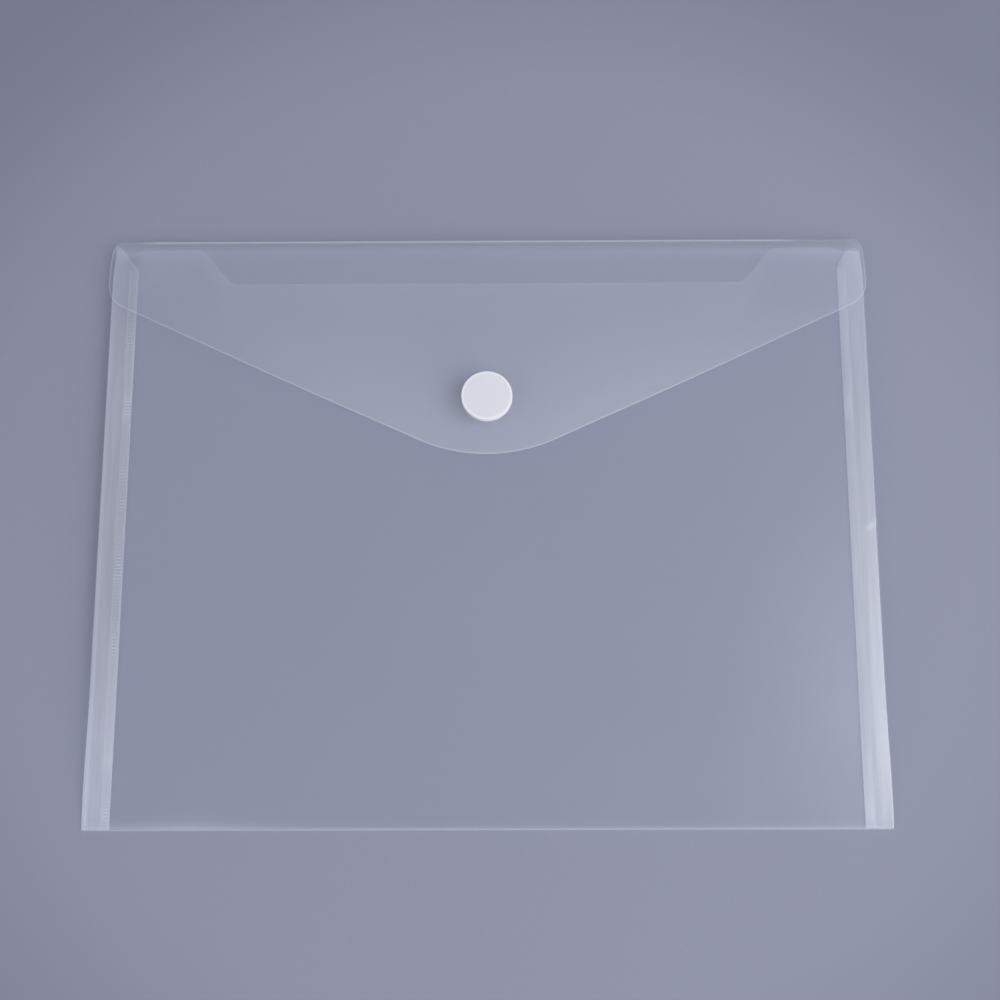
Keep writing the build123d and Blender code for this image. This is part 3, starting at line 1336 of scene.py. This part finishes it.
    def glow(self, grid: np.ndarray) -> np.ndarray:
        """Where the front panel is whitened along its folds, with painted highlights: its two sides,
        brighter on the right, a bright line inside the left side, and its foot, brightest near the left
        corner.

        Args:
            grid: The panel's points.

        Returns:
            The whitening and painted highlight at each point, from 0 to 1.
        """
        x, y = grid[..., 0], grid[..., 1]
        inside = self.side(y) + self.fold_radius - np.abs(x)
        outer = np.where(x < 0, self.left_glow, self.right_glow) * bell(inside, self.fold_band)
        low = smooth((self.sizes.shoulder - y) / (self.sizes.shoulder - self.sizes.foot.y))
        line = self.line_glow * low * bell(inside - self.line_inset, self.line_width) * (x < 0)
        spot = bell(x - self.foot_spread_at, self.foot_spread_run)
        up = y - self.sizes.foot.y
        reach = self.foot_band * (1 + self.foot_spread * spot)
        band = self.foot_glow * (1 + self.foot_gain * spot) * bell(up, reach)
        foot = np.maximum(band, self.foot_peak * bell(up, self.foot_line))
        return np.maximum(np.maximum(outer, line), foot)

    def bands(self, grid: np.ndarray) -> np.ndarray:
        """Where the front panel is hazier below its mouth, with a painted sheen low on the right and a
        painted shade at its top left corner.

        Args:
            grid: The panel's points.

        Returns:
            The added haze at each point, as a share of the film's own.
        """
        x, y = grid[..., 0], grid[..., 1]
        press = self.mouth_press * (1 - smooth((self.mouth(x) - y) / self.mouth_run))
        across, along = x - self.side_press_at[0], y - self.side_press_at[1]
        wide, long = self.side_press_run
        # Painted sheen low on the right, then painted shade at the top left corner.
        press = press + self.side_press * bell(across, wide) * bell(along, long)
        away = np.hypot(x - self.corner_dim_at[0], y - self.corner_dim_at[1])
        return press - self.corner_dim * bell(away, self.corner_dim_run)

    def hang(self, piece: Object, weight: Callable[[np.ndarray], np.ndarray]) -> None:
        """Bakes a piece's placement into its mesh, and works out each point's share of the mouth's swing
        without keeping it.

        Args:
            piece: The piece, its mesh final.
            weight: Gives each point's share of the swing from its x.
        """
        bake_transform(piece)
        x = np.array([point.co.x for point in piece.data.vertices])
        weight(x).astype(np.float32)

    def head(self, share: np.ndarray, side: Side) -> np.ndarray:
        """Where one leaf ends at its top, cut slantwise towards the inner fold.

        Args:
            share: Places across the leaf, from 0 at its inner fold to 1.
            side: Which side of the wallet.

        Returns:
            The y of the end at each place.
        """
        sizes = self.sizes
        reach = sizes.shoulder - sizes.leaf_head
        if side is Side.LEFT:
            rise = self.corner_rise
            return sizes.shoulder + rise - (reach + rise) * (1 - share) ** self.left_mitre
        slant = np.clip(1 - share / self.right_mitre, 0.0, 1.0)
        fall = np.clip((share - self.right_mitre) / (1 - self.right_mitre), 0.0, 1.0)
        return sizes.shoulder - reach * slant - self.right_fall * fall

    def leaf(self, side: Side) -> None:
        """One gusset leaf, from the side fold down and in to the inner fold.

        Args:
            side: Which side of the wallet.
        """
        sizes = self.sizes
        share = graded(1.0, *self.leaf_columns)
        is_left = side is Side.LEFT
        top = self.head(share, side)
        foot = sizes.foot.y
        rows = graded(sizes.shoulder - foot, *self.leaf_rows)[:, None]
        y = foot + rows * (top - foot)
        radius = self.side_radius(y)
        outer_x = self.side(y) + radius * (cos(self.lean - pi / 2) - cos(pi / 2 - self.tilt))
        outer_z = self.height(y) - self.edge_drop(y, np.full(y.shape, not is_left))
        outer_z = outer_z + radius * (sin(self.lean - pi / 2) - sin(pi / 2 - self.tilt))
        inner_x = sizes.inner_fold.x
        inner_z = np.minimum(sizes.inner_fold.z + sizes.inner_radius - sizes.film / 2, outer_z)
        bulge = self.leaf_bulge * np.sin(pi * share) * self.openness(y)
        x = side.value * (inner_x + share * (outer_x - inner_x))
        grid = lattice(x, y, inner_z + share * (outer_z - inner_z) + bulge)
        span = sizes.front_side - inner_x
        cut = near_line(grid, grid[-1, :, :2], self.cut_band)
        fold = np.broadcast_to(bell(np.minimum(share, 1 - share) * span, self.fold_band), cut.shape)
        press = (self.left_haze if is_left else self.right_haze).press(y, share, sizes)
        turn = (self.left_turn if is_left else 0.0) * smooth((y - foot) / self.turn_run)
        sheet = Sheet(f"{side.label}_gusset_film", grid, sizes.film, cut, fold, press, turn)
        piece = (sheet.mirrored() if is_left else sheet).piece()
        dress(piece, Finish.GUSSET, Slot.FILM, f"{side.label}_gusset_leaf")
        self.hang(piece, lambda at: self.side_share * np.clip((np.abs(at) - inner_x) / span, 0.0, 1.0))

    def margin(self, side: Side) -> None:
        """One weld margin: the film turned back under the leaf and laid on the back panel.

        Args:
            side: Which side of the wallet.
        """
        sizes = self.sizes
        low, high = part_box(f"{side.label}_weld_margin")
        level = (low.z + high.z) / 2 + self.margin_lift
        radius = (sizes.inner_fold.z + sizes.inner_radius - sizes.film / 2 - level) / 2
        is_left = side is Side.LEFT
        inner, outer = sorted((abs(low.x), abs(high.x)))
        turns = np.linspace(pi / 2, 3 * pi / 2, self.margin_turns)
        flat_x = inner + (outer - inner) * graded(outer - inner, *self.margin_steps)
        out = np.concatenate([sizes.inner_fold.x + radius * np.cos(turns), flat_x])
        up = np.concatenate([level + radius + radius * np.sin(turns), np.full_like(flat_x, level)])
        y = np.linspace(sizes.foot.y, sizes.leaf_head, self.margin_rows)[:, None]
        grid = lattice(side.value * out, y, up)
        cut = np.broadcast_to(bell(out - outer, self.cut_band), grid.shape[:2])
        on_turn = np.arange(len(out)) < self.margin_turns
        press = np.broadcast_to(np.where(on_turn, -self.turn_clear, 0.0), cut.shape)
        sheet = Sheet(f"{side.label}_margin_film", grid, sizes.film, cut, np.zeros_like(cut), press)
        piece = (sheet.mirrored() if is_left else sheet).piece()
        dress(piece, Finish.MARGIN, Slot.FILM, f"{side.label}_inner_fold", f"{side.label}_weld_margin")
        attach(piece, Body.BACK.value)


class GeometryWeb(NodeWeb):
    """Builds a Geometry Nodes tree that repeats one shape, and runs it into a plain mesh."""

    def __init__(self, name: str, shape: Object, seed: int, inputs: dict[str, tuple[str, object]]) -> None:
        """Makes a tree with named inputs.

        Args:
            name: Name of the piece that the tree makes.
            shape: The shape to repeat, which is taken away once the tree has run.
            seed: Seed of the random values.
            inputs: Socket type and value of each further input.
        """
        super().__init__(bpy.data.node_groups.new(f"{name}_tree", "GeometryNodeTree"))
        self.name = name
        self.shape = shape
        self.values = {}
        shared = {"Seed": ("NodeSocketInt", seed), "Shape": ("NodeSocketObject", shape)}
        for label, (kind, value) in {**inputs, **shared}.items():
            socket = self.tree.interface.new_socket(name=label, in_out="INPUT", socket_type=kind)
            self.values[socket.identifier] = value
        self.tree.interface.new_socket(name="Geometry", in_out="OUTPUT", socket_type="NodeSocketGeometry")
        self.given = self.add("NodeGroupInput").outputs
        self.made = self.add("NodeGroupOutput")

    def vary(self, least: Triple, most: Triple) -> NodeSocket:
        """Gives every point a random vector between two."""
        inputs = {"Min": least, "Max": most, "Seed": self.given["Seed"]}
        return self.add("FunctionNodeRandomValue", inputs, data_type="FLOAT_VECTOR").outputs[0]

    def place(self, points: NodeSocket, placing: dict[str, NodeSocket]) -> NodeSocket:
        """Puts the shape at every point.

        Args:
            points: Socket of the points.
            placing: Sockets of the shape's turn and size at each point.

        Returns:
            The placed shapes' socket.
        """
        shape = self.add("GeometryNodeObjectInfo", {"Object": self.given["Shape"]})
        inputs = {"Points": points, "Instance": shape.outputs["Geometry"], **placing}
        return self.add("GeometryNodeInstanceOnPoints", inputs).outputs[0]

    def piece(self, placed: NodeSocket, material: Material) -> Object:
        """Ends the tree with real meshes in their material, and runs it.

        Args:
            placed: Socket of the placed shapes.
            material: Their material.

        Returns:
            The piece, as a plain mesh.
        """
        real = self.add("GeometryNodeRealizeInstances", {0: placed})
        dressed = self.add("GeometryNodeSetMaterial", {"Geometry": real.outputs[0], "Material": material})
        self.feed(self.made.inputs[0], dressed.outputs[0])
        carrier = new_piece(self.name, bpy.data.meshes.new(f"{self.name}_start"))
        modifier = carrier.modifiers.new("shapes", "NODES")
        modifier.node_group = self.tree
        for identifier, value in self.values.items():
            modifier[identifier] = value
        graph = bpy.context.evaluated_depsgraph_get()
        mesh = bpy.data.meshes.new_from_object(carrier.evaluated_get(graph), depsgraph=graph)
        carrier.modifiers.remove(modifier)
        bpy.data.objects.remove(self.shape)
        mesh.name = self.name
        carrier.data = mesh
        return carrier


def shape_object(name: str, points: np.ndarray, faces: Faces) -> Object:
    """Makes a small shape for a tree to repeat."""
    return new_piece(name, solid_mesh(name, points, faces))


def bent_wire(centre: np.ndarray, radii: np.ndarray, around: int) -> tuple[np.ndarray, Faces]:
    """A round wire along a line that lies in the XZ plane.

    Args:
        centre: Points of the line.
        radii: The wire's radius at each point.
        around: Number of sides.

    Returns:
        Points and faces of the closed wire.
    """
    along = np.gradient(centre, axis=0)
    along /= np.linalg.norm(along, axis=1, keepdims=True)
    across = np.array([0.0, 1.0, 0.0])
    normal = np.cross(along, across)
    turns = np.linspace(0.0, 2 * pi, around, endpoint=False)
    rings = (
        centre[:, None]
        + radii[:, None, None] * np.cos(turns)[None, :, None] * across
        + radii[:, None, None] * np.sin(turns)[None, :, None] * normal[:, None]
    )
    count = len(centre)
    numbers = np.arange(count * around).reshape(count, around)
    after = np.roll(numbers, -1, axis=1)
    quads = np.stack([numbers[:-1], numbers[1:], after[1:], after[:-1]], axis=-1).reshape(-1, 4)
    faces = quads.tolist() + [numbers[0].tolist(), numbers[-1, ::-1].tolist()]
    return rings.reshape(-1, 3), faces


@dataclass(frozen=True)
class WeldGroup:
    """A run of welds that shows through the film over it."""

    place: float
    run: float
    strength: float


@dataclass
class WeldLadder:
    """The row of short welds that holds one margin to the back panel."""

    side: Side
    pitch: float = 1.5 * MM
    rung_length: float = 3.1 * MM
    rung_width: float = 0.62 * MM
    rung_height: float = 0.07 * MM
    rung_levels: tuple[tuple[float, float], ...] = ((1.0, 0.0), (0.95, 0.6), (0.78, 1.0))
    corner_cut: float = 0.5
    least_size: Triple = (0.86, 0.8, 0.6)
    most_size: Triple = (1.06, 1.1, 1.1)
    lift: float = 0.03 * MM
    shown: tuple[WeldGroup, ...] = (
        WeldGroup(84 * MM, 4 * MM, 0.42),
        WeldGroup(54 * MM, 6 * MM, 1.6),
        WeldGroup(23 * MM, 4 * MM, 0.5),
        WeldGroup(10 * MM, 4 * MM, 0.5),
        WeldGroup(-18 * MM, 8 * MM, 0.6),
        WeldGroup(-52 * MM, 6 * MM, 0.55),
        WeldGroup(-101 * MM, 4 * MM, 0.9),
        WeldGroup(-122 * MM, 5 * MM, 0.8),
    )
    hidden: float = 0.75
    seed: int = 11

    def rung(self) -> Object:
        """One pressed bar with sloping sides.

        Returns:
            The shape to repeat.
        """
        foot = np.array(self.corners()) * (self.rung_length / 2, self.rung_width / 2)
        points = []
        for size, rise in self.rung_levels:
            inset = (1 - size) * self.rung_width / 2
            points.append(lattice(*(foot - np.sign(foot) * inset).T, rise * self.rung_height))
        faces = skin(len(points), len(foot))
        return shape_object("weld_rung", np.concatenate(points), faces)

    def corners(self) -> list[tuple[float, float]]:
        """The bar's outline, its corners cut off.

        Returns:
            Shares of the half length and half width.
        """
        cut = self.corner_cut
        end = 1 - cut * self.rung_width / self.rung_length
        return [(-end, -1), (end, -1), (1, -cut), (1, cut), (end, 1), (-end, 1), (-1, cut), (-1, -cut)]

    def build(self) -> None:
        """Makes and dresses the ladder."""
        low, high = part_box(f"{self.side.label}_weld_margin")
        start = Vector(((low.x + high.x) / 2, low.y + self.pitch, high.z + self.lift))
        count = int((high.y - low.y) / self.pitch) - 1
        inputs = {
            "Count": ("NodeSocketInt", count),
            "Start": ("NodeSocketVector", start),
            "Step": ("NodeSocketVector", (0.0, self.pitch, 0.0)),
        }
        web = GeometryWeb(f"{self.side.label}_weld_ladder", self.rung(), self.seed, inputs)
        line = {
            "Count": web.given["Count"],
            "Start Location": web.given["Start"],
            "Offset": web.given["Step"],
        }
        row = web.add("GeometryNodeMeshLine", line, mode="OFFSET", count_mode="TOTAL")
        placed = web.place(row.outputs[0], {"Scale": web.vary(self.least_size, self.most_size)})
        piece = web.piece(placed, Finish.WELD.material())
        y = np.array([point.co.y for point in piece.data.vertices])
        near = [group.strength * bell(y - group.place, group.run) for group in self.shown]
        set_layer(piece.data, "press", np.max(near, axis=0) - self.hidden)
        dress(piece, Finish.WELD, Slot.FILM)
        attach(piece, Body.BACK.value)


@dataclass(frozen=True)
class CoinLayer:
    """A round layer of the closure with softened edges, where its CAD node lies."""

    name: str
    node: str
    inset: float
    rounding: float
    edge_turns: int = 4
    ring_shares: tuple[float, ...] = (0.08, 0.35, 0.7, 0.9, 0.915)
    around: int = 96

    def piece(self, gap: float) -> Object:
        """Makes the layer.

        Args:
            gap: Clearance to the layers above and below it.

        Returns:
            The piece, with its rim marked for the painted highlight.
        """
        low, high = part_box(self.node)
        middle = (low + high) / 2
        base, top = low.z + gap, high.z - gap
        radius = (high.x - low.x) / 2 - self.inset
        turn = np.linspace(-pi / 2, 0.0, self.edge_turns)
        out = radius - self.rounding + self.rounding * np.cos(turn)
        lower = lattice(out, base + self.rounding + self.rounding * np.sin(turn))
        upper = lattice(lower[::-1, 0], top + base - lower[::-1, 1])
        shares = np.array(self.ring_shares)
        inner_low = lattice(shares * radius, base)
        inner_high = lattice(shares[::-1] * radius, top)
        profile = np.concatenate([inner_low, lower, upper, inner_high])
        reach, height = profile[:, :1], profile[:, 1:]
        turns = np.linspace(0.0, 2 * pi, self.around, endpoint=False)
        rings = lattice(middle.x + reach * np.cos(turns), middle.y + reach * np.sin(turns), height)
        piece = tube(self.name, rings)
        set_layer(piece.data, "rim", np.repeat(profile[:, 0] > shares[-2] * radius, self.around))
        return piece


@dataclass
class Closure:
    """The round hook-and-loop closure: a hook coin under the flap, a loop coin on the front panel."""

    hook_pitch: float = 0.95 * MM
    hook_wire: float = 0.1 * MM
    hook_taper: tuple[float, float] = (1.25, 0.6)
    hook_sides: int = 6
    hook_turn: float = 0.25
    stem_share: float = 0.55
    stem_points: int = 4
    crook_share: float = 0.4
    crook_end: float = 0.1 * pi
    crook_points: int = 5
    loop_density: float = 1.5e6
    loop_wire: float = 0.035 * MM
    loop_sides: int = 4
    loop_points: int = 9
    loop_share: float = 0.95
    loop_width: float = 0.45
    loop_lean: float = 0.5
    field_inset: float = 0.5 * MM
    field_sides: int = 48
    least_size: float = 0.8
    glue_inset: float = 0.9 * MM
    glue_edge: float = 0.03 * MM
    tape_edge: float = 0.15 * MM
    gap: float = 0.012 * MM
    seed: int = 7

    def build(self) -> None:
        """Makes and dresses both coins."""
        self.layers()
        self.hooks()
        self.loops()

    def layers(self) -> None:
        """The flat layers: glue and tape on each side."""
        for coin, body in (("hook", Body.FLAP), ("loop", Body.FRONT)):
            glue = CoinLayer(f"{coin}_glue", f"{coin}_adhesive", self.glue_inset, self.glue_edge)
            tape = CoinLayer(f"{coin}_backing", f"{coin}_tape", 0.0, self.tape_edge)
            for layer, finish, slot in ((glue, Finish.GLUE, Slot.ADHESIVE), (tape, Finish.TAPE, Slot.TAPE)):
                piece = layer.piece(self.gap)
                dress(piece, finish, slot, layer.node)
                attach(piece, body.value)

    def field(
        self, name: str, node: str, shape: Object, spread: Spread, finish: ClothFinish
    ) -> Object:
        """Spreads a small shape over a round field.

        Args:
            name: The piece's name.
            node: CAD node whose place the field takes.
            shape: The shape to repeat.
            spread: Moulded rows, or brushed loops.
            finish: The field's finish.

        Returns:
            The piece.
        """
        low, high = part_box(node)
        root = high.z if spread is Spread.ROWS else low.z
        inputs = {
            "Radius": ("NodeSocketFloat", (high.x - low.x) / 2 - self.field_inset),
            "Pitch": ("NodeSocketFloat", self.hook_pitch),
            "Density": ("NodeSocketFloat", self.loop_density),
            "Place": ("NodeSocketVector", ((low.x + high.x) / 2, (low.y + high.y) / 2, root)),
        }
        web = GeometryWeb(name, shape, self.seed, inputs)
        given = web.given
        if spread is Spread.ROWS:
            size = web.math("MULTIPLY", given["Radius"], 2.0)
            count = web.math("DIVIDE", size, given["Pitch"])
            grid = {"Size X": size, "Size Y": size, "Vertices X": count, "Vertices Y": count}
            sheet = web.add("GeometryNodeMeshGrid", grid)
            place = web.add("GeometryNodeInputPosition").outputs[0]
            length = web.add("ShaderNodeVectorMath", {0: place}, operation="LENGTH").outputs["Value"]
            outside = web.math("GREATER_THAN", length, given["Radius"])
            dropped = {"Geometry": sheet.outputs[0], "Selection": outside}
            spots = web.add("GeometryNodeDeleteGeometry", dropped).outputs[0]
            turn_low, turn_high = (0.0, 0.0, -self.hook_turn), (0.0, 0.0, self.hook_turn)
        else:
            outline = {"Vertices": self.field_sides, "Radius": given["Radius"]}
            ground = web.add("GeometryNodeMeshCircle", outline, fill_type="NGON")
            strewn = {"Mesh": ground.outputs[0], "Density": given["Density"], "Seed": given["Seed"]}
            spots = web.add("GeometryNodeDistributePointsOnFaces", strewn).outputs["Points"]
            turn_low = (-self.loop_lean, -self.loop_lean, 0.0)
            turn_high = (self.loop_lean, self.loop_lean, 2 * pi)
        sizes = {RANDOM_LEAST: self.least_size, RANDOM_MOST: 1.0, "Seed": given["Seed"]}
        scale = web.add("FunctionNodeRandomValue", sizes, data_type="FLOAT").outputs[RANDOM_RESULT]
        placed = web.place(spots, {"Rotation": web.vary(turn_low, turn_high), "Scale": scale})
        moved = web.add("GeometryNodeTransform", {"Geometry": placed, "Translation": given["Place"]})
        return web.piece(moved.outputs[0], finish.material())

    def hooks(self) -> None:
        """Moulded hooks that stand down from the hook coin's backing."""
        low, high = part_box("hook_field")
        tall = high.z - low.z
        stem = lattice(0.0, 0.0, -np.linspace(0.0, self.stem_share, self.stem_points) * tall)
        turns = np.linspace(pi, self.crook_end, self.crook_points + 1)[1:]
        crook = self.crook_share * tall
        down = -self.stem_share * tall - crook * np.sin(turns)
        head = lattice(crook / 2 * (1 + np.cos(turns)), 0.0, down)
        line = np.concatenate([stem, head])
        radii = self.hook_wire * np.linspace(*self.hook_taper, len(line))
        shape = shape_object("hook_shape", *bent_wire(line, radii, self.hook_sides))
        piece = self.field("hook_rows", "hook_field", shape, Spread.ROWS, Finish.HOOKS)
        dress(piece, Finish.HOOKS, Slot.HOOKS, "hook_field")
        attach(piece, Body.FLAP.value)

    def loops(self) -> None:
        """Brushed loops that stand up from the loop coin's backing."""
        low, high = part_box("loop_pile")
        tall = (high.z - low.z) * self.loop_share
        turns = np.linspace(0.0, pi, self.loop_points)
        line = lattice(self.loop_width * tall * np.cos(turns), 0.0, tall * np.sin(turns))
        radii = np.full(self.loop_points, self.loop_wire)
        shape = shape_object("loop_shape", *bent_wire(line, radii, self.loop_sides))
        piece = self.field("loop_tufts", "loop_pile", shape, Spread.SCATTER, Finish.PILE)
        dress(piece, Finish.PILE, Slot.PILE, "loop_pile")
        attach(piece, Body.FRONT.value)


@dataclass(frozen=True)
class SoftBox:
    """A soft lamp that faces the wallet: its direction and distance, its size and its light."""

    name: str
    way: Triple
    far: float
    size: tuple[float, float]
    power: float
    colour: Triple = (1.0, 1.0, 1.0)

    def build(self) -> None:
        """Places the lamp."""
        data = bpy.data.lights.new(self.name, "AREA")
        data.color = self.colour
        data.shape = "RECTANGLE"
        data.size, data.size_y = self.size
        data.energy = self.power
        lamp = bpy.data.objects.new(self.name, data)
        towards = Vector(self.way).normalized()
        turn = towards.to_track_quat("Z", "Y").to_matrix().to_4x4()
        lamp.matrix_world = Matrix.Translation(towards * self.far) @ turn
        bpy.context.scene.collection.objects.link(lamp)


@dataclass
class Studio:
    """The table, the soft lamps and the camera at the photograph's angle."""

    lamps: tuple[SoftBox, ...] = (
        SoftBox("key_lamp", (1.29, -0.8, 1.0), 2.8, (3.2, 3.2), 71.0),
        SoftBox("side_lamp", (0.62, -0.018, 0.85), 1.5, (0.9, 1.0), 5.6, (1.0, 0.985, 0.93)),
        SoftBox("fill_lamp", (-1.2, -0.6, 0.9), 2.5, (1.8, 1.8), 13.6),
    )
    camera_place: Triple = (12.545 * MM, -222.172 * MM, 812.787 * MM)
    camera_right: Triple = (0.999959, -0.001184, -0.008958)
    camera_up: Triple = (0.003611, 0.961129, 0.276074)
    camera_reach: tuple[float, float] = (0.01, 50.0)
    lens: float = 70.935
    sensor: float = 36.0
    table_size: float = 8.0
    table_drop: float = 0.05 * MM
    ambient: float = 0.25
    ambient_colour: Triple = (0.88, 0.93, 1.0)
    see_through: int = 64
    bounces: int = 6
    surface_bounces: int = 2

    def build(self) -> None:
        """Sets up everything round the wallet."""
        self.table()
        self.camera()
        self.world()
        for lamp in self.lamps:
            lamp.build()
        scene = bpy.context.scene
        scene.view_settings.view_transform = "Standard"
        scene.cycles.transparent_max_bounces = self.see_through
        scene.cycles.max_bounces = self.bounces
        scene.cycles.diffuse_bounces = self.surface_bounces
        scene.cycles.glossy_bounces = self.surface_bounces

    def table(self) -> None:
        """The plain table top that the wallet lies on."""
        half = self.table_size / 2
        points = lattice(half * np.array([-1, 1, 1, -1]), half * np.array([-1, -1, 1, 1]), -self.table_drop)
        top = new_piece("table", solid_mesh("table", points, [(0, 1, 2, 3)]))
        top.data.materials.append(TableFinish().material())

    def camera(self) -> None:
        """The camera, where the photograph was taken from."""
        data = bpy.data.cameras.new("camera")
        data.lens, data.sensor_width = self.lens, self.sensor
        data.clip_start, data.clip_end = self.camera_reach
        camera = bpy.data.objects.new("camera", data)
        right, up = Vector(self.camera_right), Vector(self.camera_up)
        turn = Matrix((right, up, right.cross(up))).transposed().to_4x4()
        camera.matrix_world = Matrix.Translation(self.camera_place) @ turn
        bpy.context.scene.collection.objects.link(camera)
        bpy.context.scene.camera = camera

    def world(self) -> None:
        """Even soft light from all round."""
        world = bpy.data.worlds.new("studio")
        world.use_nodes = True
        shade = world.node_tree.nodes["Background"]
        shade.inputs["Color"].default_value = (*self.ambient_colour, 1.0)
        shade.inputs["Strength"].default_value = self.ambient
        bpy.context.scene.world = world


def main() -> None:
    """Builds the studio and every sub-assembly."""
    logging.basicConfig(level=logging.INFO, format="%(name)s: %(message)s")
    sizes = WalletSizes.read()
    spine = Spine(sizes)
    Studio().build()
    spine.build()
    BackPanel(sizes, spine).build()
    Flap(sizes, spine).build()
    Pocket(sizes).build()
    for side in Side:
        WeldLadder(side).build()
    Closure().build()


if __name__ == "__main__":
    main()
